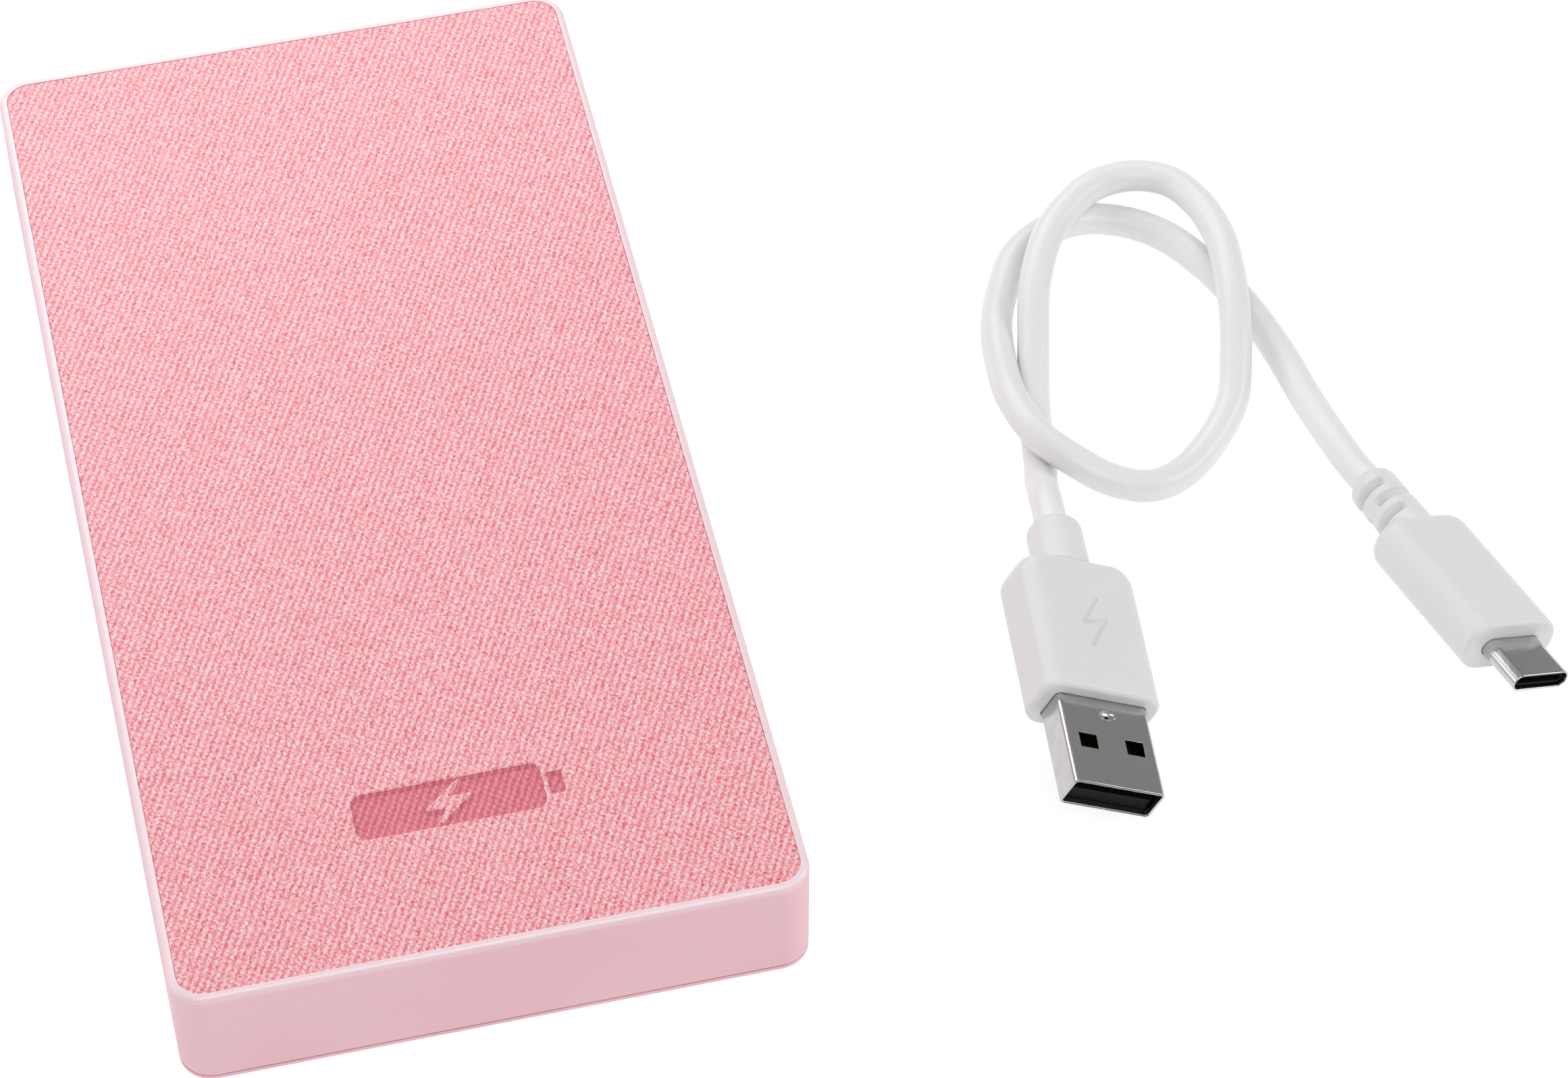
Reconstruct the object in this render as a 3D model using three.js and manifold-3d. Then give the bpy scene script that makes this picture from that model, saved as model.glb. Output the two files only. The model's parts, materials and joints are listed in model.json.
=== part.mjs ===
// A slim power bank with a fabric top, its battery and electronics, and its supplied charging lead.
// Millimetres. The origin is on the table under the middle of the body: +X runs to the right,
// +Y along the body towards its port end, +Z up.
import * as THREE from "three";
import { mergeVertices } from "three/addons/utils/BufferGeometryUtils.js";
import Module from "manifold-3d";

const wasm = await Module();
wasm.setup();

// ---- Driving dimensions -------------------------------------------------------------------

const GAP = 0.3; // clearance that pieces in contact keep between their meshes

const BODY = { width: 72.4, length: 142.6, height: 15.9, corner: 3.8, topRound: 0.85 };
const WALL = 1.6; // frame wall
const COVER = { edge: 0.7, plate: 1.3, lipTop: 3.2, lip: 1.0, edgeRound: 0.3 };
const FRAME_BOTTOM = COVER.edge + 0.25;
const LEDGE = { low: 12.0, high: 13.2, width: 1.6 }; // shelf inside the frame that carries the top panel
const PANEL = { width: 70, length: 140.2, corner: 2.7, low: 13.5, high: 14.8 };
const FABRIC = { low: 15.1, high: 15.75 };
const RIM_GAP = 0.25; // between the panel's edge and the frame's rim

const CELL = { width: 64, back: -67.5, front: 36.5, thick: 4.8, terrace: 4, terraceThick: 0.8 };
const LOWER_CELL_LOW = 2.5;
const UPPER_CELL_LOW = 8.3;
const TAB = { width: 6, thick: 0.3, bend: 42.5, end: 47 };
const PAD = { width: 58, back: -64, front: 32 };

const BOARD = { width: 62, back: 44.5, front: 67.8, low: 5.0, high: 6.2 };
const ON_BOARD = BOARD.high + GAP; // where a part soldered to the board begins
const PORT_HEIGHT = 8.1; // centre line of the sockets, button and lights
const PORT_FACE = BODY.length / 2; // outer face of the port end
const SOCKET_FACE = PORT_FACE - 0.3;

const USB_A = { x: 18, width: 13.3, height: 5.9, wall: 0.4, depth: 14, corner: 0.6 };
const USB_C = { x: -1, width: 9.0, height: 3.3, wall: 0.3, depth: 7.4 };
const BUTTON = { x: -24, width: 8, height: 3.2, face: PORT_FACE - 0.1, flange: 0.8, clear: 0.3 };
const SWITCH = { width: 4.6, back: 62.6, front: 65.6, high: 9.9 };
const LIGHTS = { count: 4, first: -17.6, pitch: 2.6, radius: 0.65, hole: 0.95 };
const SCREW = { x: 29, y: 64.4, shaft: 0.8, head: 1.7, length: 4.4 };
const BOSS_RADIUS = 2.2;

const LEAD_RADIUS = 2.0;
const PLUG_A = {
  place: [74.9, -48.5, 6.25], yaw: -5.2, pitch: 0, roll: 25.7, width: 15.8, height: 8, length: 20.2,
  shellWidth: 12, shellHeight: 4.5, shellLength: 12.7, reliefRadius: 3.45, reliefLength: 7.7,
};
const PLUG_C = {
  place: [125, -50.7, 6.95], yaw: 14.5, pitch: -6, roll: 23.3, width: 13.7, height: 6.8, length: 21,
  shellWidth: 8.25, shellHeight: 2.4, shellLength: 6.65, reliefRadius: 3.1, reliefLength: 10,
};

// The lead's centre line, from the end of one strain relief to the end of the other. It lies on
// the table, makes one loop, and rises over itself in a low hump where it crosses.
const LEAD_ROUTE = [
  [77.4, -20.7, 6.25], [77.85, -16.4, 5.65], [78.5, -12.2, 3.8], [79.5, -8, 2.4], [80.5, -2.5, 2.1],
  [81.5, 2.5, 2.2], [83.5, 10.5, 4.2], [85.5, 17.5, 5.8], [89, 24.5, 6.5], [93, 29, 6.3],
  [97.5, 32, 6], [102.5, 32.5, 5.8], [106.5, 30.5, 5.9], [109, 26, 6.1], [110, 20, 6.4],
  [109.5, 13.5, 6.5], [108.5, 7.5, 6], [107, 1.5, 4.5], [105, -4, 2.9], [100.5, -9.5, 2.1],
  [95.5, -13.5, 2.4], [91, -15, 3.4], [86.5, -14, 4.8], [82.5, -11, 6.2], [79.5, -7, 6.7],
  [78, 0, 6], [78.5, 7, 4.2], [80, 15, 2.7], [82.5, 21, 2.1], [85.5, 26, 2.1],
  [90, 29, 2.1], [95, 30, 2.1], [100, 28.5, 2.1], [104.5, 25, 2.1], [108.5, 18.5, 2.1],
  [111, 12, 2.1], [113, 4, 2.1], [114.5, -6.5, 2.3], [116.3, -17, 3.2], [117.3, -20.9, 3.7],
];

// ---- Materials ----------------------------------------------------------------------------

const material = (color, roughness, metalness = 0) =>
  new THREE.MeshStandardMaterial({ color, roughness, metalness });

const LOOKS = {
  frame: () => material("#efd3d8", 0.45),
  cover: () => material("#e6c6cc", 0.5),
  panel: () => material("#e9cdd2", 0.6),
  fabric: () => material("#f2b0b8", 0.95),
  pouch: () => material("#b9bcc0", 0.35, 0.8),
  nickel: () => material("#c9c6bf", 0.35, 1),
  steel: () => material("#a9abad", 0.28, 1),
  foam: () => material("#f4f2ec", 0.9),
  board: () => material("#1f5a3a", 0.5),
  insulator: () => material("#d9a441", 0.5),
  black: () => material("#1b1b1d", 0.5),
  ferrite: () => material("#4c4a48", 0.7),
  ceramic: () => material("#b59a78", 0.6),
  lamp: () => material("#f6f4ea", 0.4),
  guide: () => material("#f7f3f3", 0.3),
  white: () => material("#ececec", 0.45),
};

// ---- Shapes and solids --------------------------------------------------------------------

function roundRect(width, height, radius) {
  const x = width / 2;
  const y = height / 2;
  const r = Math.min(radius, x - 0.01, y - 0.01);
  const shape = new THREE.Shape();
  shape.moveTo(x - r, -y);
  shape.absarc(x - r, -y + r, r, -Math.PI / 2, 0);
  shape.absarc(x - r, y - r, r, 0, Math.PI / 2);
  shape.absarc(-x + r, y - r, r, Math.PI / 2, Math.PI);
  shape.absarc(-x + r, -y + r, r, Math.PI, Math.PI * 1.5);
  return shape;
}

const pill = (width, height) => roundRect(width, height, height / 2);

const disc = (radius) => new THREE.Shape().absarc(0, 0, radius, 0, Math.PI * 2);

// A prism of a shape drawn in X and Y, from one height to another.
function slab(shape, low, high, curveSegments = 6) {
  const made = new THREE.ExtrudeGeometry(shape, { depth: high - low, bevelEnabled: false, curveSegments });
  return made.translate(0, 0, low);
}

// A prism of a shape drawn in X and Z, from one Y to another.
function bar(shape, back, front, curveSegments = 6) {
  const made = new THREE.ExtrudeGeometry(shape, { depth: front - back, bevelEnabled: false, curveSegments });
  return made.rotateX(Math.PI / 2).translate(0, front, 0);
}

// The same prism with both ends rounded over by the given radius.
function roundedBar(width, height, corner, back, front, round) {
  const shape = roundRect(width - 2 * round, height - 2 * round, corner - round);
  const made = new THREE.ExtrudeGeometry(shape, {
    depth: front - back - 2 * round,
    bevelThickness: round,
    bevelSize: round,
    bevelSegments: 3,
    curveSegments: 5,
  });
  return made.rotateX(Math.PI / 2).translate(0, front - round, 0);
}

function box(width, length, height, x, y, low) {
  return new THREE.BoxGeometry(width, length, height).translate(x, y, low + height / 2);
}

function solid(geometry) {
  const bare = geometry.index ? geometry.toNonIndexed() : geometry.clone();
  bare.deleteAttribute("normal");
  bare.deleteAttribute("uv");
  const merged = mergeVertices(bare, 1e-4);
  const mesh = new wasm.Mesh({
    numProp: 3,
    vertProperties: new Float32Array(merged.attributes.position.array),
    triVerts: new Uint32Array(merged.index.array),
  });
  return new wasm.Manifold(mesh);
}

function geometryOf(made) {
  const mesh = made.getMesh();
  const geometry = new THREE.BufferGeometry();
  geometry.setAttribute("position", new THREE.BufferAttribute(new Float32Array(mesh.vertProperties), 3));
  geometry.setIndex(new THREE.BufferAttribute(new Uint32Array(mesh.triVerts), 1));
  geometry.computeVertexNormals();
  return geometry;
}

const join = (...pieces) => geometryOf(pieces.map(solid).reduce((a, b) => a.add(b)));

const cut = (from, ...tools) => geometryOf(tools.map(solid).reduce((a, b) => a.subtract(b), solid(from)));

const keep = (from, tool) => geometryOf(solid(from).intersect(solid(tool)));

const powerBank = new THREE.Group();

function node(name, geometry, look, parent = powerBank) {
  const mesh = new THREE.Mesh(geometry, look());
  mesh.name = name;
  parent.add(mesh);
  return mesh;
}

// ---- Case ---------------------------------------------------------------------------------

// An outline of the body in plan, drawn in from its side walls by an inset.
function plan(inset) {
  return roundRect(BODY.width - 2 * inset, BODY.length - 2 * inset, Math.max(BODY.corner - inset, 0.8));
}

// The body's block with its top edge rounded over, trimmed off at the height where it begins.
function bodyBlock(low) {
  const round = BODY.topRound;
  const made = new THREE.ExtrudeGeometry(plan(round), {
    depth: BODY.height - round,
    bevelThickness: round,
    bevelSize: round,
    bevelSegments: 5,
    curveSegments: 8,
  });
  const spare = box(BODY.width + 2, BODY.length + 2, low + 2 * round, 0, 0, -2 * round);
  return cut(made, spare);
}

function mainFrame() {
  const margin = 1;
  const panelRecess = roundRect(
    PANEL.width + 2 * RIM_GAP, PANEL.length + 2 * RIM_GAP, PANEL.corner + RIM_GAP);
  const ledgeInner = plan(WALL + LEDGE.width);
  const bosses = [-1, 1].map((side) => {
    const column = slab(disc(BOSS_RADIUS), ON_BOARD, LEDGE.low + 0.6).translate(side * SCREW.x, SCREW.y, 0);
    const rib = box(6, 1.4, LEDGE.low + 0.6 - ON_BOARD, side * (SCREW.x + 4), SCREW.y, ON_BOARD);
    return [column, rib];
  });
  const shell = cut(
    bodyBlock(FRAME_BOTTOM),
    slab(panelRecess, LEDGE.high, BODY.height + margin),
    slab(ledgeInner, LEDGE.low - margin, LEDGE.high + margin),
    slab(plan(WALL), FRAME_BOTTOM - margin, LEDGE.low),
  );
  const wallDepth = [PORT_FACE - WALL - margin, PORT_FACE + margin];
  const portHoles = [
    bar(roundRect(USB_A.width + 2 * GAP, USB_A.height + 2 * GAP, USB_A.corner + GAP), ...wallDepth)
      .translate(USB_A.x, 0, PORT_HEIGHT),
    bar(pill(USB_C.width + 2 * GAP, USB_C.height + 2 * GAP), ...wallDepth)
      .translate(USB_C.x, 0, PORT_HEIGHT),
    bar(pill(BUTTON.width + 2 * BUTTON.clear, BUTTON.height + 2 * BUTTON.clear), ...wallDepth)
      .translate(BUTTON.x, 0, PORT_HEIGHT),
  ];
  for (let i = 0; i < LIGHTS.count; i++) {
    portHoles.push(
      bar(disc(LIGHTS.hole), ...wallDepth, 5).translate(LIGHTS.first + i * LIGHTS.pitch, 0, PORT_HEIGHT));
  }
  const screwHoles = [-1, 1].map((side) =>
    slab(disc(SCREW.shaft + GAP), ON_BOARD - margin, ON_BOARD + SCREW.length).translate(
      side * SCREW.x, SCREW.y, 0));
  return cut(join(shell, ...bosses.flat()), ...portHoles, ...screwHoles);
}

function bottomCover() {
  const round = COVER.edgeRound;
  const plate = new THREE.ExtrudeGeometry(plan(round), {
    depth: COVER.edge,
    bevelThickness: round,
    bevelSize: round,
    bevelSegments: 2,
    curveSegments: 8,
  });
  plate.translate(0, 0, round);
  const outerLip = plan(WALL + GAP);
  const innerLip = plan(WALL + GAP + COVER.lip);
  const edge = keep(plate, box(BODY.width + 2, BODY.length + 2, COVER.edge, 0, 0, 0));
  const step = slab(outerLip, COVER.edge - 0.1, COVER.lipTop);
  return cut(join(edge, step), slab(innerLip, COVER.plate, COVER.lipTop + 1));
}

function panelPlate(low, high) {
  return slab(roundRect(PANEL.width, PANEL.length, PANEL.corner), low, high);
}

node("main_frame", mainFrame(), LOOKS.frame);
node("bottom_cover", bottomCover(), LOOKS.cover);
node("top_panel", panelPlate(PANEL.low, PANEL.high), LOOKS.panel);
node("fabric_cover", panelPlate(FABRIC.low, FABRIC.high), LOOKS.fabric);

// ---- Battery ------------------------------------------------------------------------------

function pouchCell(low) {
  const length = CELL.front - CELL.back;
  const middle = low + CELL.thick / 2;
  const round = 1.2;
  const pouch = roundedBar(CELL.width, CELL.thick, 1.6, CELL.back, CELL.front, round).translate(0, 0, middle);
  const terrace = box(
    CELL.width - 4, CELL.terrace + length / 4, CELL.terraceThick,
    0, CELL.front + CELL.terrace / 2 - length / 8, middle - CELL.terraceThick / 2);
  return join(pouch, terrace);
}

// A metal strip, bent twice, from a cell's terrace to its pad on top of the board.
function cellTab(x, cellLow) {
  const start = CELL.front + CELL.terrace + GAP;
  const from = cellLow + CELL.thick / 2;
  const to = ON_BOARD + TAB.thick / 2;
  const half = TAB.thick / 2;
  const rise = Math.sign(to - from) * half;
  const outline = [
    [start, from - half], [TAB.bend + rise, from - half], [TAB.bend + rise, to - half],
    [TAB.end, to - half], [TAB.end, to + half], [TAB.bend - rise, to + half],
    [TAB.bend - rise, from + half], [start, from + half],
  ];
  const shape = new THREE.Shape(outline.map(([y, z]) => new THREE.Vector2(y, z)));
  const strip = new THREE.ExtrudeGeometry(shape, { depth: TAB.width, bevelEnabled: false });
  return strip.rotateX(Math.PI / 2).rotateZ(Math.PI / 2).translate(x - TAB.width / 2, 0, 0);
}

function foamPad(low, high) {
  const length = PAD.front - PAD.back;
  return slab(roundRect(PAD.width, length, 2), low, high).translate(0, (PAD.front + PAD.back) / 2, 0);
}

node("lower_battery_cell", pouchCell(LOWER_CELL_LOW), LOOKS.pouch);
node("upper_battery_cell", pouchCell(UPPER_CELL_LOW), LOOKS.pouch);
node("lower_cell_pad", foamPad(COVER.plate + GAP, LOWER_CELL_LOW - GAP), LOOKS.foam);
node("middle_cell_pad", foamPad(LOWER_CELL_LOW + CELL.thick + GAP, UPPER_CELL_LOW - GAP), LOOKS.foam);
node("upper_cell_positive_tab", cellTab(-19, UPPER_CELL_LOW), LOOKS.nickel);
node("lower_cell_positive_tab", cellTab(-10, LOWER_CELL_LOW), LOOKS.nickel);
node("upper_cell_negative_tab", cellTab(10, UPPER_CELL_LOW), LOOKS.nickel);
node("lower_cell_negative_tab", cellTab(19, LOWER_CELL_LOW), LOOKS.nickel);

// ---- Board and what is soldered to it -----------------------------------------------------

function circuitBoard() {
  const length = BOARD.front - BOARD.back;
  const outline = slab(roundRect(BOARD.width, length, 1), BOARD.low, BOARD.high)
    .translate(0, (BOARD.front + BOARD.back) / 2, 0);
  const socketRecess = box(
    USB_A.width + 2 * GAP, USB_A.depth + 2, BOARD.high - BOARD.low + 2,
    USB_A.x, SOCKET_FACE - USB_A.depth / 2 + 1 - GAP, BOARD.low - 1);
  const holes = [-1, 1].map((side) =>
    slab(disc(SCREW.shaft + GAP), BOARD.low - 1, BOARD.high + 1).translate(side * SCREW.x, SCREW.y, 0));
  return cut(outline, socketRecess, ...holes);
}

function boardScrew(side) {
  const top = ON_BOARD + SCREW.length - 1;
  const headTop = BOARD.low - GAP;
  const headHeight = 1;
  const profile = [
    [0, headTop - headHeight], [SCREW.head - 0.3, headTop - headHeight], [SCREW.head, headTop - 0.6],
    [SCREW.head, headTop], [SCREW.shaft, headTop], [SCREW.shaft, top - 0.6], [0.2, top], [0, top],
  ].map(([r, z]) => new THREE.Vector2(r, z));
  return new THREE.LatheGeometry(profile, 16).rotateX(Math.PI / 2).translate(side * SCREW.x, SCREW.y, 0);
}

node("circuit_board", circuitBoard(), LOOKS.board);
node("board_insulator", box(50, 21, 0.3, 0, 55.5, BOARD.low - 0.7), LOOKS.insulator);
node("left_board_screw", boardScrew(-1), LOOKS.steel);
node("right_board_screw", boardScrew(1), LOOKS.steel);

// Chips and passives: name, width, length, height, x, y, look.
const COMPONENTS = [
  ["power_inductor", 6.8, 6.8, 3, -8.5, 53.4, LOOKS.ferrite],
  ["charge_controller", 5, 5, 0.9, 1.2, 52.4, LOOKS.black],
  ["protection_chip", 5, 4, 1.5, -18.5, 52.8, LOOKS.black],
  ["boost_transistor", 3.3, 3.3, 1, 7.4, 51.2, LOOKS.black],
  ["input_capacitor", 3.2, 1.6, 1.6, -1, 58.2, LOOKS.ceramic],
  ["output_capacitor", 3.2, 1.6, 1.6, 4.2, 58.2, LOOKS.ceramic],
  ["current_sense_resistor", 3.2, 1.6, 0.6, -14.8, 58.4, LOOKS.black],
];
for (const [name, width, length, height, x, y, look] of COMPONENTS) {
  node(name, box(width, length, height, x, y, ON_BOARD), look);
}

// ---- Sockets ------------------------------------------------------------------------------

function hollowBar(outer, inner, back, front) {
  return cut(bar(outer, back, front), bar(inner, back - 1, front + 1));
}

function socketA() {
  const back = SOCKET_FACE - USB_A.depth;
  const innerWidth = USB_A.width - 2 * USB_A.wall;
  const innerHeight = USB_A.height - 2 * USB_A.wall;
  const shell = hollowBar(
    roundRect(USB_A.width, USB_A.height, USB_A.corner),
    roundRect(innerWidth, innerHeight, USB_A.corner - 0.2), back, SOCKET_FACE);
  const block = box(innerWidth - 2 * GAP, 2, innerHeight - 2 * GAP, 0, back + 1.3, -innerHeight / 2 + GAP);
  const tongue = box(11.1, USB_A.depth - 3.2, 1.84, 0, back + USB_A.depth / 2 + 0.4, 0.35);
  return [shell, join(block, tongue)];
}

function socketC() {
  const back = SOCKET_FACE - USB_C.depth;
  const innerWidth = USB_C.width - 2 * USB_C.wall;
  const innerHeight = USB_C.height - 2 * USB_C.wall;
  const shell = hollowBar(
    pill(USB_C.width, USB_C.height), pill(innerWidth, innerHeight), back, SOCKET_FACE);
  const block = bar(pill(innerWidth - 2 * GAP, innerHeight - 2 * GAP), back + 0.3, back + 1.9);
  const tongue = box(6.69, 4.6, 0.7, 0, back + 1.8 + 2.3, -0.35);
  return [shell, join(block, tongue)];
}

const sockets = [["usb_a_socket", USB_A.x, socketA()], ["usb_c_socket", USB_C.x, socketC()]];
for (const [name, x, [shell, tongue]] of sockets) {
  node(name + "_shell", shell.translate(x, 0, PORT_HEIGHT), LOOKS.steel);
  node(name + "_tongue", tongue.translate(x, 0, PORT_HEIGHT), LOOKS.black);
}

// ---- Power button, its switch, and the charge lights --------------------------------------

const FLANGE_FRONT = PORT_FACE - WALL - GAP;
const STEM_BACK = 67.0;

function powerButton() {
  const cap = bar(pill(BUTTON.width, BUTTON.height), FLANGE_FRONT - 0.1, BUTTON.face, 10);
  const flange = bar(pill(BUTTON.width + 2, BUTTON.height + 1.8), FLANGE_FRONT - BUTTON.flange, FLANGE_FRONT);
  const stem = box(2.4, FLANGE_FRONT - STEM_BACK - 0.2, 1.6, 0, (FLANGE_FRONT + STEM_BACK - 0.2) / 2, -0.8);
  return join(cap, flange, stem).translate(BUTTON.x, 0, PORT_HEIGHT);
}

function switchHousing() {
  const length = SWITCH.front - SWITCH.back;
  const block = box(
    SWITCH.width, length, SWITCH.high - ON_BOARD, BUTTON.x, SWITCH.back + length / 2, ON_BOARD);
  const pocket = box(2.4, 1.8, 2, BUTTON.x, SWITCH.front - 0.8, PORT_HEIGHT - 1);
  return cut(block, pocket);
}

function lightGuide() {
  const middle = LIGHTS.first + ((LIGHTS.count - 1) * LIGHTS.pitch) / 2;
  const pegs = [];
  for (let i = 0; i < LIGHTS.count; i++) {
    pegs.push(
      bar(disc(LIGHTS.radius), FLANGE_FRONT - 0.3, PORT_FACE - 0.15, 5)
        .translate(LIGHTS.first + i * LIGHTS.pitch, 0, PORT_HEIGHT));
  }
  return join(box(9.6, 2, 2.5, middle, FLANGE_FRONT - 1, 6.8), ...pegs);
}

node("power_button", powerButton(), LOOKS.frame);
node("switch_plunger", box(1.6, 2.1, 1.2, BUTTON.x, 65.65, PORT_HEIGHT - 0.6), LOOKS.black);
node("switch_housing", switchHousing(), LOOKS.steel);
node("light_guide", lightGuide(), LOOKS.guide);
for (let i = 0; i < LIGHTS.count; i++) {
  const x = LIGHTS.first + i * LIGHTS.pitch;
  node("charge_light_" + (i + 1), box(1.6, 0.8, 0.8, x, 66.5, ON_BOARD), LOOKS.lamp);
}

// ---- Charging lead ------------------------------------------------------------------------

// A plug's own frame: +X across it, +Y back along its lead, +Z out of its top, origin at the
// middle of the overmould's front face. It leans on its lower right edge, as its stiff lead twists it.
function plugGroup({ place, yaw, pitch, roll }) {
  const group = new THREE.Group();
  const rad = THREE.MathUtils.degToRad;
  group.rotation.set(rad(pitch), rad(roll), rad(yaw), "ZXY");
  group.position.set(...place);
  powerBank.add(group);
  return group;
}

function overmould(plug, corner, round) {
  const grip = roundedBar(plug.width, plug.height, corner, 0, plug.length, round);
  const relief = bar(disc(plug.reliefRadius), plug.length - 1, plug.length + plug.reliefLength, 6);
  return join(grip, relief);
}

function plugShellA() {
  const { shellWidth: width, shellHeight: height, shellLength: length } = PLUG_A;
  const wall = 0.35;
  const windows = [-1, 1].map((side) => box(2.4, 2.4, height + 2, side * 3.1, -6.4, -height / 2 - 1));
  return cut(
    bar(roundRect(width, height, 0.6), -length, -GAP),
    bar(roundRect(width - 2 * wall, height - 2 * wall, 0.3), -length - 1, 1),
    ...windows);
}

function plugInsertA() {
  const back = box(10.7, 2.4, 3.2, 0, -1.8, -1.6);
  const tongue = box(10.7, 10.9, 1.5, 0, -6.3, -1.6);
  return join(back, tongue);
}

function plugShellC() {
  const { shellWidth: width, shellHeight: height, shellLength: length } = PLUG_C;
  const wall = 0.25;
  return cut(
    bar(pill(width, height), -length, -GAP),
    bar(pill(width - 2 * wall, height - 2 * wall), -length - 1, 1));
}

function plugInsertC() {
  const outline = pill(7.1, 1.3);
  return cut(bar(outline, -6.1, -0.6), box(6.4, 4.6, 0.7, 0, -4.2, -0.35));
}

const plugA = plugGroup(PLUG_A);
node("usb_a_plug_overmould", overmould(PLUG_A, 2.6, 1), LOOKS.white, plugA);
node("usb_a_plug_shell", plugShellA(), LOOKS.steel, plugA);
node("usb_a_plug_insert", plugInsertA(), LOOKS.black, plugA);

const plugC = plugGroup(PLUG_C);
node("usb_c_plug_overmould", overmould(PLUG_C, 3.3, 0.8), LOOKS.white, plugC);
node("usb_c_plug_shell", plugShellC(), LOOKS.steel, plugC);
node("usb_c_plug_insert", plugInsertC(), LOOKS.black, plugC);

// The lead stops short of each strain relief by the gap that meshes in contact keep.
function leadCable() {
  const points = LEAD_ROUTE.map((p) => new THREE.Vector3(...p));
  const last = points.length - 1;
  const start = points[1].clone().sub(points[0]).setLength(GAP);
  const end = points[last - 1].clone().sub(points[last]).setLength(GAP);
  points[0].add(start);
  points[last].add(end);
  return new THREE.ExtrudeGeometry(disc(LEAD_RADIUS), {
    extrudePath: new THREE.CatmullRomCurve3(points, false, "centripetal"),
    steps: 78,
    curveSegments: 5,
    bevelEnabled: false,
  });
}

node("lead_cable", leadCable(), LOOKS.white);

export default powerBank;
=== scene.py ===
"""A slim power bank with a fabric top, and its short charging lead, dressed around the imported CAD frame.

Metres, in the frame of the part: the origin is on the table under the middle of the power bank,
+X to the right, +Y towards the end with the sockets, +Z up.
"""
import json
import math

import bmesh
import bpy
import numpy as np
from mathutils import Matrix, Vector
from mathutils.geometry import delaunay_2d_cdt


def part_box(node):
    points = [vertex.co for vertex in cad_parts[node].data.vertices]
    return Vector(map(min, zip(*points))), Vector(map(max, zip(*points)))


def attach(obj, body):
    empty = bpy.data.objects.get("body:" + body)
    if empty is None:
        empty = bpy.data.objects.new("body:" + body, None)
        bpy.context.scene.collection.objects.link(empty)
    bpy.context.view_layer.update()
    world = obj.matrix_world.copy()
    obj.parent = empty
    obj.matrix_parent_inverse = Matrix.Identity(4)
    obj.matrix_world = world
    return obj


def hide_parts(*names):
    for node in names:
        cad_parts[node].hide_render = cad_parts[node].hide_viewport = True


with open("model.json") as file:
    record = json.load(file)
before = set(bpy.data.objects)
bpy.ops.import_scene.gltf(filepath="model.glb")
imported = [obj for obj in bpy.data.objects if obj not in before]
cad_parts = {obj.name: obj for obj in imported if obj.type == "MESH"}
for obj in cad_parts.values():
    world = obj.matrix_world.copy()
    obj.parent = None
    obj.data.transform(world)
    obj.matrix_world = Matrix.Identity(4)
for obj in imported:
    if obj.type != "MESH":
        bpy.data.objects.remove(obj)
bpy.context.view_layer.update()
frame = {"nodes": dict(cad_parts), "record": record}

MM = 0.001
MICRON = 1e-6

# ---- Camera ---------------------------------------------------------------------------------

CAMERA_PLACE = Vector((-43.16, -389.18, 487.57)) * MM
CAMERA_FORWARD = Vector((0.14423, 0.6071, -0.78143))
CAMERA_RIGHT = Vector((0.97353, -0.22855, 0.00212))
CAMERA_LENS = 118.17
SENSOR_WIDTH = 36.0


def make_camera():
    camera = bpy.data.objects.new("camera", bpy.data.cameras.new("camera"))
    camera.data.lens = CAMERA_LENS
    camera.data.sensor_width = SENSOR_WIDTH
    camera.data.sensor_fit = "HORIZONTAL"
    camera.data.clip_start = 0.01
    up = CAMERA_RIGHT.cross(CAMERA_FORWARD)
    turn = Matrix((CAMERA_RIGHT, up, -CAMERA_FORWARD)).transposed().to_4x4()
    camera.matrix_world = Matrix.Translation(CAMERA_PLACE) @ turn
    bpy.context.scene.collection.objects.link(camera)
    bpy.context.scene.camera = camera


make_camera()

# ---- Materials ------------------------------------------------------------------------------


def linear(red, green, blue):
    """A colour given in 0 to 255 steps, as the linear values that shaders take."""

    def one(value):
        share = value / 255
        return share / 12.92 if share <= 0.04045 else ((share + 0.055) / 1.055) ** 2.4

    return (one(red), one(green), one(blue), 1.0)


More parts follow.
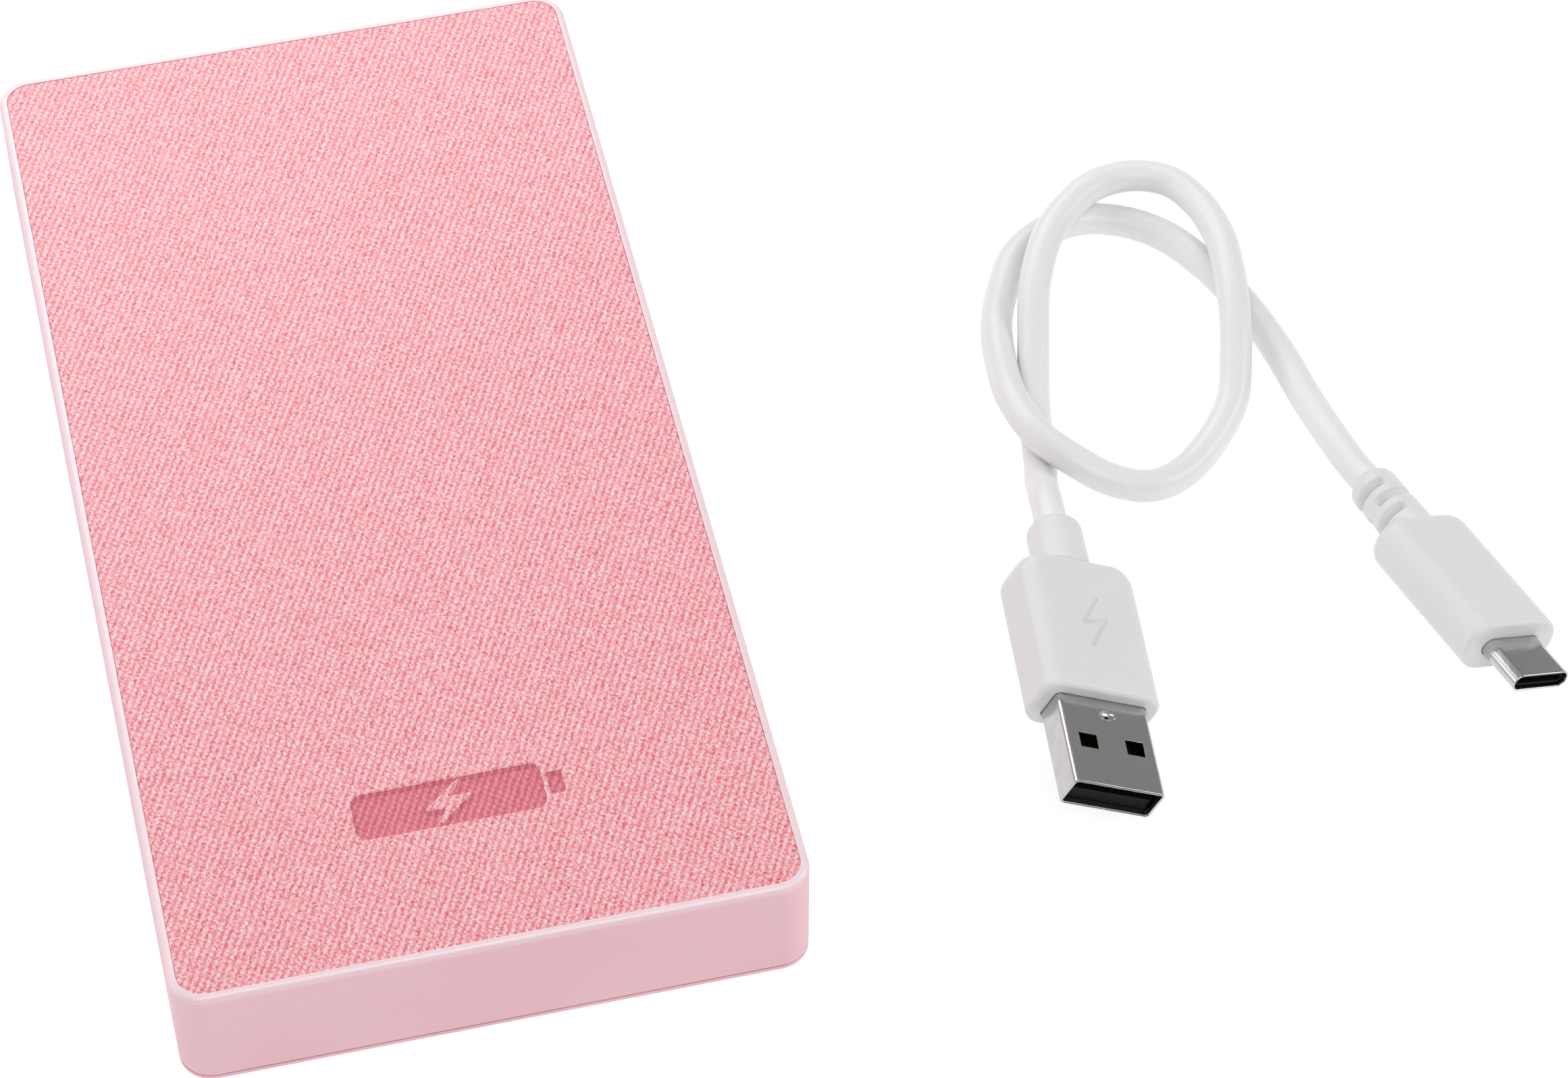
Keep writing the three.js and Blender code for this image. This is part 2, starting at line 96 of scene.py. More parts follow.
class Shader:
    """A material being built: it adds nodes and joins them, ending in one Principled BSDF."""

    def __init__(self, name):
        self.material = bpy.data.materials.new(name)
        self.material.use_nodes = True
        self.tree = self.material.node_tree
        self.bsdf = next(n for n in self.tree.nodes if n.type == "BSDF_PRINCIPLED")
        self.coordinates = None

    def put(self, value, socket):
        if isinstance(value, bpy.types.NodeSocket):
            self.tree.links.new(value, socket)
        else:
            socket.default_value = value

    def add(self, kind, inputs=None, **settings):
        node = self.tree.nodes.new("ShaderNode" + kind)
        for key, value in settings.items():
            setattr(node, key, value)
        for key, value in (inputs or {}).items():
            self.put(value, node.inputs[key])
        return node

    def math(self, operation, *values, clamp=False):
        made = self.add("Math", dict(enumerate(values)), operation=operation, use_clamp=clamp)
        return made.outputs[0]

    def millimetres(self):
        """The point on the object, in millimetres."""
        if self.coordinates is None:
            place = self.add("TexCoord").outputs["Object"]
            scaled = self.add("VectorMath", {0: place, 3: 1 / MM}, operation="SCALE")
            self.coordinates = scaled.outputs[0]
        return self.coordinates

    def stretched(self, x, y, z):
        factors = self.add("VectorMath", {0: self.millimetres(), 1: (x, y, z)}, operation="MULTIPLY")
        return factors.outputs[0]

    def noise(self, scale, detail=2.0, place=None, roughness=0.5):
        """Noise from 0 to 1, with its features 1 / scale millimetres apart."""
        inputs = {
            "Vector": self.millimetres() if place is None else place,
            "Scale": scale, "Detail": detail, "Roughness": roughness,
        }
        return self.add("TexNoise", inputs).outputs[0]

    def spread(self, value, low, high, to_low=0.0, to_high=1.0):
        inputs = {0: value, 1: low, 2: high, 3: to_low, 4: to_high}
        return self.add("MapRange", inputs).outputs[0]

    def mix(self, share, first, second, kind="MIX"):
        made = self.add("Mix", data_type="RGBA", blend_type=kind)
        self.put(share, made.inputs[0])
        self.put(first, made.inputs[6])
        self.put(second, made.inputs[7])
        return made.outputs[2]

    def bump(self, height, distance, strength=1.0):
        inputs = {"Height": height, "Distance": distance, "Strength": strength}
        self.put(self.add("Bump", inputs).outputs[0], self.bsdf.inputs["Normal"])

    def set(self, **values):
        for key, value in values.items():
            self.put(value, self.bsdf.inputs[key.replace("_", " ")])
        return self.material


# How far the gloss of a plastic wanders, and how much of the painted rim highlight shows at the very top.
UNEVEN_GLOSS = 0.035
PAINTED_HIGHLIGHT_SHARE = 0.85


def plastic(name, light, dark, rough=0.42, grain=5.0, depth=1.2e-5, rim_highlight=None, **more):
    """Moulded plastic: a fine spark-eroded grain, faint flow marks and slightly uneven gloss.

    Given rim heights, in millimetres, it is painted paler between them towards the top: a painted highlight
    along the rim.
    """
    s = Shader(name)
    cloud = s.noise(0.045, 3)
    speck = s.noise(grain * 0.7, 2)
    colour = s.mix(s.spread(cloud, 0.35, 0.65), light, dark)
    shade = s.spread(speck, 0.3, 0.7, 0.985, 1.015)
    grey = s.add("CombineColor", {0: shade, 1: shade, 2: shade}).outputs[0]
    colour = s.mix(1.0, colour, grey, "MULTIPLY")
    # Painted highlight: a paler pink painted up the rim, standing in for light on the rounded edge.
    if rim_highlight:
        height = s.add("SeparateXYZ", {0: s.millimetres()}).outputs[2]
        colour = s.mix(s.spread(height, *rim_highlight, 0.0, PAINTED_HIGHLIGHT_SHARE), colour, PAINTED_RIM_HIGHLIGHT)
    s.bump(s.noise(grain, 3), depth)
    gloss = s.spread(s.noise(0.9, 4), 0.3, 0.7, rough - UNEVEN_GLOSS, rough + UNEVEN_GLOSS)
    return s.set(Base_Color=colour, Roughness=gloss, **more)


def metal(name, light, dark, rough=0.25, lines=(0.4, 12.0, 12.0), depth=4e-6, **more):
    """Plated sheet: drawn lines along one axis, a soft cloudiness and fine wear."""
    s = Shader(name)
    drawn = s.noise(1.0, 3, s.stretched(*lines))
    cloud = s.noise(0.5, 4)
    colour = s.mix(s.spread(cloud, 0.35, 0.65), light, dark)
    worn = s.spread(cloud, 0.3, 0.7, rough - 0.03, rough + 0.04)
    rub = s.math("ADD", s.spread(drawn, 0.3, 0.7, -0.05, 0.05), worn)
    s.bump(drawn, depth)
    return s.set(Base_Color=colour, Roughness=rub, Metallic=1.0, **more)


# The twill's two sets of waves, in turns per millimetre: its ribs, and the stitches along them.
RIB_WAVE = (1.110, -0.555, 0.0)
STITCH_WAVE = (0.972, 1.147, 0.0)
FABRIC_TOP = 15.82
MARK_DEPTH = 0.38
MARK_CENTRE = (-0.4, -50.9)
MARK_HALF = (12.0, 3.1)
PATCH_MARGIN = 1.2


def twill():
    """Melange twill: pale ribs over coral valleys, broken up by yarns that vary in colour."""
    s = Shader("fabric_twill")
    place = s.millimetres()
    drift = s.add("TexNoise", {"Vector": place, "Scale": 0.75, "Detail": 3.0}).outputs[1]
    away = s.add("VectorMath", {0: drift, 1: (0.5, 0.5, 0.5)}, operation="SUBTRACT").outputs[0]
    away = s.add("VectorMath", {0: away, 3: 0.5}, operation="SCALE").outputs[0]
    bent = s.add("VectorMath", {0: place, 1: away}, operation="ADD").outputs[0]

    def wave(direction, shift=0.0):
        turns = s.add("VectorMath", {0: bent, 1: direction}, operation="DOT_PRODUCT").outputs[1]
        return s.math("COSINE", s.math("MULTIPLY", s.math("ADD", turns, shift), 2 * math.pi))

    rib = wave(RIB_WAVE)
    stitch = wave(STITCH_WAVE)
    both = wave(tuple(a + b for a, b in zip(RIB_WAVE, STITCH_WAVE)))
    relief = s.math("ADD", s.math("MULTIPLY", rib, 0.7), s.math("MULTIPLY", stitch, 0.27))
    relief = s.math("ADD", relief, s.math("MULTIPLY", both, 0.2))

    along = s.add("VectorRotate", {"Vector": bent, "Angle": -math.radians(63.5)}).outputs[0]
    fibres = s.add("VectorMath", {0: along, 1: (2.6, 6.5, 1.0)}, operation="MULTIPLY").outputs[0]
    yarn = s.add("TexNoise", {"Vector": fibres, "Scale": 1.0, "Detail": 2.0, "Roughness": 0.65}).outputs[0]
    cross = s.noise(1.0, 1, s.stretched(3.2, 7.5, 1.0))
    picks = s.add("TexVoronoi", {"Vector": s.stretched(4.2, 5.2, 1.0), "Scale": 1.0}, feature="F1")
    speck = s.add("SeparateColor", {0: picks.outputs["Color"]}).outputs[0]
    grain = s.noise(5.4, 1)
    body = s.math("ADD", relief, s.spread(yarn, 0.25, 0.75, -0.95, 0.95))
    body = s.math("ADD", body, s.spread(cross, 0.3, 0.7, -0.4, 0.4))
    body = s.math("ADD", body, s.spread(speck, 0.0, 1.0, -0.85, 0.85))
    body = s.math("ADD", body, s.spread(grain, 0.3, 0.7, -0.75, 0.75))

    ramp = s.add("ValToRGB", {0: s.spread(body, -2.2, 2.2)})
    stops = [
        (0.06, linear(194, 52, 64)), (0.28, linear(227, 100, 108)), (0.47, linear(236, 148, 153)),
        (0.66, linear(238, 184, 189)), (0.94, linear(242, 220, 223)),
    ]
    shades = ramp.color_ramp.elements
    for at, colour in stops[:2]:
        shades[0 if at == stops[0][0] else 1].position = at
        shades[0 if at == stops[0][0] else 1].color = colour
    for at, colour in stops[2:]:
        shades.new(at).color = colour
    cool = s.spread(s.noise(1.9, 2), 0.4, 0.72, 0.0, 0.35)
    colour = s.mix(cool, ramp.outputs[0], linear(236, 178, 206))
    parts = s.add("SeparateXYZ", {0: place}).outputs
    # The mark is painted darker as it sinks: the pressed cloth's own deeper colour on its floor, and
    # painted shade on its sloping walls.
    pressed_tint_and_shade = s.spread(parts[2], FABRIC_TOP - 0.03, FABRIC_TOP - MARK_DEPTH / 2, 0.0, 0.95)
    for part, centre, half in zip(parts, MARK_CENTRE, MARK_HALF):
        off = s.math("ABSOLUTE", s.math("SUBTRACT", part, centre))
        pressed_tint_and_shade = s.math("MULTIPLY", pressed_tint_and_shade, s.math("LESS_THAN", off, half + PATCH_MARGIN))
    knots = s.math("ADD", s.math("MULTIPLY", relief, 0.5), s.spread(yarn, 0.3, 0.7, -0.4, 0.4))
    sunk_colour_and_shade = s.mix(s.spread(knots, -0.5, 0.7), linear(190, 54, 80), linear(234, 132, 152))
    colour = s.mix(pressed_tint_and_shade, colour, sunk_colour_and_shade)
    s.bump(s.math("ADD", relief, s.spread(yarn, 0.2, 0.8, -0.8, 0.8)), 3.2e-5, 0.6)
    return s.set(
        Base_Color=colour, Roughness=0.43, Sheen_Weight=0.35, Sheen_Roughness=0.4,
        Sheen_Tint=linear(255, 236, 238), Specular_IOR_Level=1.0)


def laminate():
    """Solder mask: copper under it shows as slightly lighter tracks, with dull gold pads."""
    s = Shader("board_laminate")
    tracks = s.add("TexBrick", {
        "Vector": s.millimetres(), "Scale": 0.45, "Mortar Size": 0.09, "Mortar Smooth": 0.1,
        "Color1": linear(26, 92, 58), "Color2": linear(30, 104, 66), "Mortar": linear(16, 66, 42)})
    pads = s.add("TexVoronoi", {"Vector": s.millimetres(), "Scale": 0.5}, feature="F1")
    via = s.spread(pads.outputs["Distance"], 0.10, 0.14, 1.0, 0.0)
    s.bump(tracks.outputs[1], 2e-5)
    return s.set(Base_Color=s.mix(via, tracks.outputs[0], linear(196, 164, 96)), Roughness=0.38)


def foil():
    """Pouch foil: dull aluminium with shallow creases."""
    s = Shader("cell_foil")
    creases = s.noise(0.22, 5, roughness=0.7)
    s.bump(creases, 1.5e-4, 0.6)
    colour = s.mix(s.spread(creases, 0.35, 0.65), linear(186, 188, 192), linear(206, 208, 211))
    return s.set(Base_Color=colour, Metallic=0.9, Roughness=s.spread(s.noise(1.4, 3), 0.3, 0.7, 0.3, 0.42))


# The case's painted rim highlight: its pale pink, and the heights over which it is painted.
PAINTED_RIM_HIGHLIGHT = linear(244, 221, 227)
CASE_RIM_HIGHLIGHT_HEIGHTS = (14.95, 15.75)
PINK = linear(229, 178, 188)
PINK_DEEP = linear(226, 172, 183)
MATERIALS = {
    "case_plastic": plastic(
        "case_plastic", PINK, PINK_DEEP, 0.45, rim_highlight=CASE_RIM_HIGHLIGHT_HEIGHTS, IOR=1.7, Specular_IOR_Level=1.0),
    "base_plastic": plastic("base_plastic", linear(237, 190, 199), linear(233, 184, 194), 0.46),
    "panel_plastic": plastic("panel_plastic", linear(233, 205, 210), linear(228, 197, 203), 0.6),
    "button_plastic": plastic("button_plastic", linear(241, 206, 212), PINK, 0.36, depth=6e-6),
    "top_fabric": twill(),
    "cell_foil": foil(),
    "foam_tape": plastic("foam_tape", linear(246, 243, 236), linear(232, 228, 220), 0.9, 1.6, 1.2e-4),
    "nickel_strip": metal("nickel_strip", linear(206, 203, 196), linear(186, 183, 176), 0.3),
    "board_laminate": laminate(),
    "insulating_film": plastic(
        "insulating_film", linear(214, 160, 66), linear(200, 144, 52), 0.3, 0.6, 3e-5),
    "screw_steel": metal("screw_steel", linear(176, 178, 180), linear(150, 152, 154), 0.28),
    "ferrite": plastic("ferrite", linear(84, 82, 80), linear(66, 64, 62), 0.62, 3.0, 4e-5),
    "chip_resin": plastic("chip_resin", linear(34, 34, 36), linear(26, 26, 28), 0.55, 8.0, 1e-5),
    "capacitor_ceramic": plastic(
        "capacitor_ceramic", linear(192, 162, 124), linear(176, 146, 110), 0.5, 4.0),
    "socket_steel": metal("socket_steel", linear(188, 190, 192), linear(168, 170, 172), 0.24),
    "socket_insulator": plastic("socket_insulator", linear(32, 32, 34), linear(24, 24, 26), 0.5, 6.0),
    "light_guide": plastic("light_guide", linear(250, 247, 246), linear(242, 238, 238), 0.22, 2.0, 4e-6),
    "lamp_resin": plastic("lamp_resin", linear(250, 244, 216), linear(244, 236, 204), 0.3, 3.0, 6e-6),
    "lead_white": plastic("lead_white", linear(221, 221, 221), linear(217, 217, 217), 0.4, 4.2, 1.0e-5),
    "cable_white": plastic("cable_white", linear(228, 228, 228), linear(224, 224, 224), 0.36, 3.2, 0.8e-5),
    "plug_steel": metal(
        "plug_steel", linear(200, 200, 199), linear(192, 192, 191), 0.2, (9.0, 0.5, 9.0), 1.5e-6),
    "plug_insulator": plastic(
        "plug_insulator", linear(9, 9, 10), linear(6, 6, 7), 0.6, 6.0, Specular_IOR_Level=0.2),
    "contact_gold": metal("contact_gold", linear(168, 136, 78), linear(150, 120, 66), 0.34),
}

# ---- Mesh helpers ---------------------------------------------------------------------------


def place_object(name, mesh, slot, body, look=None):
    """A new piece at the origin that shows a mesh, rides on a body and takes a slot's finish."""
    made = bpy.data.objects.new(name, mesh)
    bpy.context.scene.collection.objects.link(made)
    mesh.materials.clear()
    mesh.materials.append(MATERIALS[look or slot])
    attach(made, body)
    return made


def mesh_from(name, points, faces, smooth=True):
    mesh = bpy.data.meshes.new(name)
    mesh.from_pydata([tuple(p) for p in points], [], faces)
    bm = bmesh.new()
    bm.from_mesh(mesh)
    bmesh.ops.recalc_face_normals(bm, faces=bm.faces)
    bm.to_mesh(mesh)
    bm.free()
    mesh.polygons.foreach_set("use_smooth", [smooth] * len(mesh.polygons))
    return mesh


def skin_faces(rings, count, closed=False):
    """Four-sided faces between each ring of a row and the next, and back to the first if closed."""
    faces = []
    for i in range(rings if closed else rings - 1):
        following = (i + 1) % rings
        for k in range(count):
            after = (k + 1) % count
            faces.append((
                i * count + k, i * count + after, following * count + after, following * count + k))
    return faces


def loft(name, sections):
    """One closed skin over a row of rings that all have the same number of points."""
    count = len(sections[0])
    points = [p for ring in sections for p in ring]
    faces = skin_faces(len(sections), count)
    faces.append(tuple(range(count)))
    faces.append(tuple((len(sections) - 1) * count + k for k in range(count)))
    return mesh_from(name, points, faces)


def round_rect(half_x, half_y, radius, arc=8, side=1):
    """Points round a rounded rectangle, anticlockwise from the bottom of its right side."""
    radius = min(radius, half_x - MICRON, half_y - MICRON)
    points = []
    for quarter in range(4):
        centre_x = (half_x - radius) * (1 if quarter in (0, 3) else -1)
        centre_y = (half_y - radius) * (1 if quarter in (0, 1) else -1)
        for step in range(arc + 1):
            angle = math.pi / 2 * (quarter + step / arc)
            points.append((centre_x + radius * math.cos(angle), centre_y + radius * math.sin(angle)))
        follow = (quarter + 1) % 4
        next_x = (half_x - radius) * (1 if follow in (0, 3) else -1)
        next_y = (half_y - radius) * (1 if follow in (0, 1) else -1)
        turn = math.pi / 2 * (quarter + 1)
        start = points[-1]
        end = (next_x + radius * math.cos(turn), next_y + radius * math.sin(turn))
        for step in range(1, side):
            share = step / side
            points.append((start[0] + (end[0] - start[0]) * share, start[1] + (end[1] - start[1]) * share))
    return points


def circle(radius, count=56):
    turns = [2 * math.pi * k / count for k in range(count)]
    return [(radius * math.cos(a), radius * math.sin(a)) for a in turns]


def upright(ring, y):
    """A ring drawn in X and Z, stood at one Y."""
    return [(x, y, z) for x, z in ring]


def combine(target, tool, operation):
    """Cuts one mesh from another, or joins them, and returns the new mesh."""
    first = bpy.data.objects.new("target", target)
    second = bpy.data.objects.new("tool", tool)
    for o in (first, second):
        bpy.context.scene.collection.objects.link(o)
    modifier = first.modifiers.new("combine", "BOOLEAN")
    modifier.object = second
    modifier.operation = operation
    modifier.solver = "EXACT"
    evaluated = first.evaluated_get(bpy.context.evaluated_depsgraph_get())
    made = bpy.data.meshes.new_from_object(evaluated)
    for o in (first, second):
        bpy.data.objects.remove(o)
    made.polygons.foreach_set("use_smooth", [True] * len(made.polygons))
    return made


def prism(name, outline, low, high, axis="Z"):
    """A closed block from an outline, along Z or Y."""
    if axis == "Y":
        return loft(name, [upright(outline, low), upright(outline, high)])
    return loft(name, [[(x, y, z) for x, y in outline] for z in (low, high)])


SHARP_ANGLE = 32.0


def soften(piece, width=0.0, segments=2):
    """Small rounded edges, unless the width is zero, and normals that follow the large faces."""
    weld = piece.modifiers.new("weld", "WELD")
    weld.merge_threshold = MICRON
    if width:
        bevel = piece.modifiers.new("edges", "BEVEL")
        bevel.width = width
        bevel.segments = segments
        bevel.limit_method = "ANGLE"
        bevel.angle_limit = math.radians(SHARP_ANGLE)
        bevel.use_clamp_overlap = True
    normals = piece.modifiers.new("normals", "WEIGHTED_NORMAL")
    normals.mode = "FACE_AREA"
    normals.weight = 60
    return piece


# ---- Charging lead: its cable ---------------------------------------------------------------

LEAD_DIAMETER = 0.004
LEAD_INTO_RELIEF = 0.0016
LEAD_ROUTE = [
    (77.4, -20.7, 6.25), (77.85, -16.4, 5.65), (78.5, -12.2, 3.8), (79.5, -8, 2.4), (80.5, -2.5, 2.1),
    (81.5, 2.5, 2.2), (83.5, 10.5, 4.2), (85.5, 17.5, 5.8), (89, 24.5, 6.5), (93, 29, 6.3),
    (97.5, 32, 6), (102.5, 32.5, 5.8), (106.5, 30.5, 5.9), (109, 26, 6.1), (110, 20, 6.4),
    (109.5, 13.5, 6.5), (108.5, 7.5, 6), (107, 1.5, 4.5), (105, -4, 2.9), (100.5, -9.5, 2.1),
    (95.5, -13.5, 2.4), (91, -15, 3.4), (86.5, -14, 4.8), (82.5, -11, 6.2), (79.5, -7, 6.7),
    (78, 0, 6), (78.5, 7, 4.2), (80, 15, 2.7), (82.5, 21, 2.1), (85.5, 26, 2.1),
    (90, 29, 2.1), (95, 30, 2.1), (100, 28.5, 2.1), (104.5, 25, 2.1), (108.5, 18.5, 2.1),
    (111, 12, 2.1), (113, 4, 2.1), (114.5, -6.5, 2.3), (116.3, -17, 3.2), (117.3, -20.9, 3.7),
]


def smooth_line(points, steps):
    """A centripetal Catmull-Rom curve through the points, with a few steps to each span."""
    known = [Vector(p) for p in points]
    known = [2 * known[0] - known[1]] + known + [2 * known[-1] - known[-2]]
    line = []
    for before, start, end, after in zip(known, known[1:], known[2:], known[3:]):
        t1 = (start - before).length ** 0.5
        t2 = t1 + (end - start).length ** 0.5
        t3 = t2 + (after - end).length ** 0.5
        for step in range(steps):
            t = t1 + (t2 - t1) * step / steps
            a = before.lerp(start, t / t1)
            b = start.lerp(end, (t - t1) / (t2 - t1))
            c = end.lerp(after, (t - t2) / (t3 - t2))
            d = a.lerp(b, t / t2)
            e = b.lerp(c, (t - t1) / (t3 - t1))
            line.append(d.lerp(e, (t - t1) / (t2 - t1)))
    return line + [known[-2]]


def lead_cable():
    line = smooth_line([Vector(p) * MM for p in LEAD_ROUTE], 12)
    first = line[0] + (line[0] - line[1]).normalized() * LEAD_INTO_RELIEF
    last = line[-1] + (line[-1] - line[-2]).normalized() * LEAD_INTO_RELIEF
    line = [first, *line, last]
    curve = bpy.data.curves.new("lead_jacket", "CURVE")
    curve.dimensions = "3D"
    curve.bevel_depth = LEAD_DIAMETER / 2
    curve.bevel_resolution = 9
    curve.use_fill_caps = True
    spline = curve.splines.new("POLY")
    spline.points.add(len(line) - 1)
    for point, place in zip(spline.points, line):
        point.co = (*place, 1.0)
    spline.use_smooth = True
    curve.materials.append(MATERIALS["cable_white"])
    piece = bpy.data.objects.new("lead_jacket", curve)
    bpy.context.scene.collection.objects.link(piece)
    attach(piece, "charging_lead")
    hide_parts("lead_cable")
    return piece


cable = lead_cable()

# ---- Charging lead: its plugs ---------------------------------------------------------------

# A plug's own frame: +X across it, +Y back along the lead, +Z out of its top, origin at the
# middle of the overmould's front face. The same places and turns as in the CAD model.
PLUG_A = {"place": (74.9, -48.5, 6.25), "yaw": -5.2, "pitch": 0.0, "roll": 25.7}
PLUG_C = {"place": (125.0, -50.7, 6.95), "yaw": 14.5, "pitch": -6.0, "roll": 23.3}


def plug_matrix(plug):
    turn = Matrix.Rotation(math.radians(plug["yaw"]), 4, "Z")
    turn = turn @ Matrix.Rotation(math.radians(plug["pitch"]), 4, "X")
    turn = turn @ Matrix.Rotation(math.radians(plug["roll"]), 4, "Y")
    return Matrix.Translation(Vector(plug["place"]) * MM) @ turn


def plug_piece(name, mesh, slot, plug, node=None, look=None):
    mesh.transform(plug_matrix(plug))
    piece = place_object(name, mesh, slot, "charging_lead", look)
    if node:
        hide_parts(node)
    return piece


def grip_skin(name, half_x, half_z, length, corner, front, rear_x, rear_z):
    """The overmould's block: small round at the front, broad rounded shoulders at the rear."""
    sections = []
    for step in range(7):
        angle = math.pi / 2 * step / 6
        inset = front * (1 - math.sin(angle))
        ring = round_rect(half_x - inset, half_z - inset, corner - inset, 10, 3)
        sections.append(upright(ring, front * (1 - math.cos(angle))))
    for step in range(1, 4):
        sections.append(upright(
            round_rect(half_x, half_z, corner, 10, 3), front + (length - rear_x - front) * step / 4))
    for step in range(15):
        angle = math.pi / 2 * step / 14
        left = rear_x * (1 - math.sin(angle))
        inset_x = rear_x - math.sqrt(max(0.0, rear_x**2 - (rear_x - left) ** 2))
        inset_z = rear_z - math.sqrt(max(0.0, rear_z**2 - max(0.0, rear_z - left) ** 2))
        ring = round_rect(half_x - inset_x, half_z - inset_z, corner - min(inset_x, inset_z), 10, 3)
        sections.append(upright(ring, length - left))
    return loft(name, sections)


def lathe(name, profile, count=56):
    """A closed skin round Y from (y, radius) pairs."""
    return loft(name, [upright(circle(r, count), y) for y, r in profile])


def arc_profile(start_y, start_r, end_y, end_r, steps=6):
    """A quarter round from one (y, radius) to another, leaving along Y."""
    turns = [math.pi / 2 * k / steps for k in range(steps + 1)]
    return [
        (start_y + (end_y - start_y) * math.sin(a), end_r + (start_r - end_r) * math.cos(a)) for a in turns]


def bolt_outline(height):
    """A plain lightning bolt, a general sign for charging."""
    shape = [(0.27, 0.5), (-0.46, -0.11), (-0.03, -0.11), (-0.27, -0.5), (0.46, 0.11), (0.03, 0.11)]
    return [(x * height, y * height) for x, y in shape]


BOLT_LINE = ((0.13, 0.5), (-0.22, -0.05), (0.22, 0.05), (-0.13, -0.5))


def groove_tool(start, end, middle, height, half_width, top, depth):
    """A round-ended cutter along one stroke of a sign, narrower at its foot."""
    a = np.array(middle) + np.array(start) * height
    b = np.array(middle) + np.array(end) * height
    along = (b - a) / np.linalg.norm(b - a)
    facing = math.atan2(along[1], along[0])
    rings = []
    for width, z in ((half_width * 0.45, top - depth), (half_width, top), (half_width * 1.4, top + 0.3)):
        ring = []
        for end_point, turn in ((b, -math.pi / 2), (a, math.pi / 2)):
            for step in range(9):
                angle = facing + turn + math.pi * step / 8
                ring.append((
                    (end_point[0] + width * math.cos(angle)) * MM,
                    (end_point[1] + width * math.sin(angle)) * MM, z * MM))
        rings.append(ring)
    return loft("groove", rings)


# How deep the shells are let into the overmoulds, which leaves a fine gap round them.
POCKET_DEPTH = 1.2 * MM
SHELL_BACK = 1.0 * MM


def overmould_a():
    half_x, half_z, length = 7.9 * MM, 4.0 * MM, 20.2 * MM
    grip = grip_skin(
        "usb_a_grip", half_x, half_z, length,
        corner=2.6 * MM, front=0.6 * MM, rear_x=2.5 * MM, rear_z=1.1 * MM)
    end = length + 7.7 * MM
    profile = [(length - 1.5 * MM, 3.45 * MM), (length + 1.0 * MM, 3.45 * MM)]
    profile += [(length + 4.0 * MM, 3.4 * MM)]
    profile += arc_profile(end - 1.4 * MM, 3.36 * MM, end, 2.0 * MM)
    grip = combine(grip, lathe("relief", profile), "UNION")
    pocket = round_rect(6.13 * MM, 2.38 * MM, radius=0.7 * MM, arc=6)
    grip = combine(grip, prism("pocket", pocket, -1 * MM, POCKET_DEPTH, "Y"), "DIFFERENCE")
    for start, end in zip(BOLT_LINE, BOLT_LINE[1:]):
        stroke = groove_tool(
            start, end, middle=(0.2, 10.4), height=7.2, half_width=0.3, top=half_z / MM, depth=0.32)
        grip = combine(grip, stroke, "DIFFERENCE")
    return soften(plug_piece("usb_a_grip", grip, "lead_white", PLUG_A, "usb_a_plug_overmould"))


def shell_skin(name, half_x, half_z, corner, wall, back, front, arc):
    """A drawn metal tube from its back to its mouth, open at both ends."""
    outer = round_rect(half_x, half_z, corner, arc, 3)
    inner = round_rect(half_x - wall, half_z - wall, corner - wall * 0.8, arc, 3)
    lip = wall * 0.42
    outer_lip = round_rect(half_x - lip, half_z - lip, corner - lip, arc, 3)
    inner_lip = round_rect(half_x - wall + lip, half_z - wall + lip, corner - wall * 0.8 + lip, arc, 3)
    rings = [
        upright(outer, back), upright(outer, front + lip), upright(outer_lip, front),
        upright(inner_lip, front), upright(inner, front + lip), upright(inner, back),
    ]
    points = [p for ring in rings for p in ring]
    return mesh_from(name, points, skin_faces(len(rings), len(outer), closed=True))


def block(name, width, length, height, x, y, low):
    """A block by its size, the middle of its plan and its low face, all in millimetres."""
    corners = ((-1, -1), (1, -1), (1, 1), (-1, 1))
    outline = [((x + a * width / 2) * MM, (y + b * length / 2) * MM) for a, b in corners]
    return prism(name, outline, low * MM, (low + height) * MM)


def dimple(name, x, y, top, radius_x, radius_y, depth):
    """An oval bowl, pressed into a flat top from above."""
    rings = []
    for step in range(1, 9):
        angle = math.pi / 2 * step / 8
        share = math.sin(angle)
        low = top - depth * math.cos(angle)
        rings.append([
            ((x + radius_x * share * a) * MM, (y + radius_y * share * b) * MM, low * MM)
            for a, b in circle(1.0, 32)])
    rings.append([(p[0], p[1], (top + 1.0) * MM) for p in rings[-1]])
    return loft(name, rings)


def shell_a():
    shell = shell_skin(
        "usb_a_shell", half_x=6.0 * MM, half_z=2.25 * MM, corner=0.62 * MM, wall=0.33 * MM,
        back=SHELL_BACK, front=-12.7 * MM, arc=8)
    for side in (-1, 1):
        window = block("window", width=2.4, length=2.1, height=6.5, x=side * 3.1, y=-6.4, low=-3.2)
        shell = combine(shell, window, "DIFFERENCE")
    spring = dimple("dimple", x=0.2, y=-2.3, top=2.25, radius_x=1.15, radius_y=0.72, depth=0.34)
    shell = combine(shell, spring, "DIFFERENCE")
    seam = block("seam", width=0.08, length=15, height=0.6, x=0.0, y=-6.0, low=-2.6)
    shell = combine(shell, seam, "DIFFERENCE")
    piece = plug_piece("usb_a_shell", shell, "plug_steel", PLUG_A, "usb_a_plug_shell")
    return soften(piece, 0.13 * MM, 3)


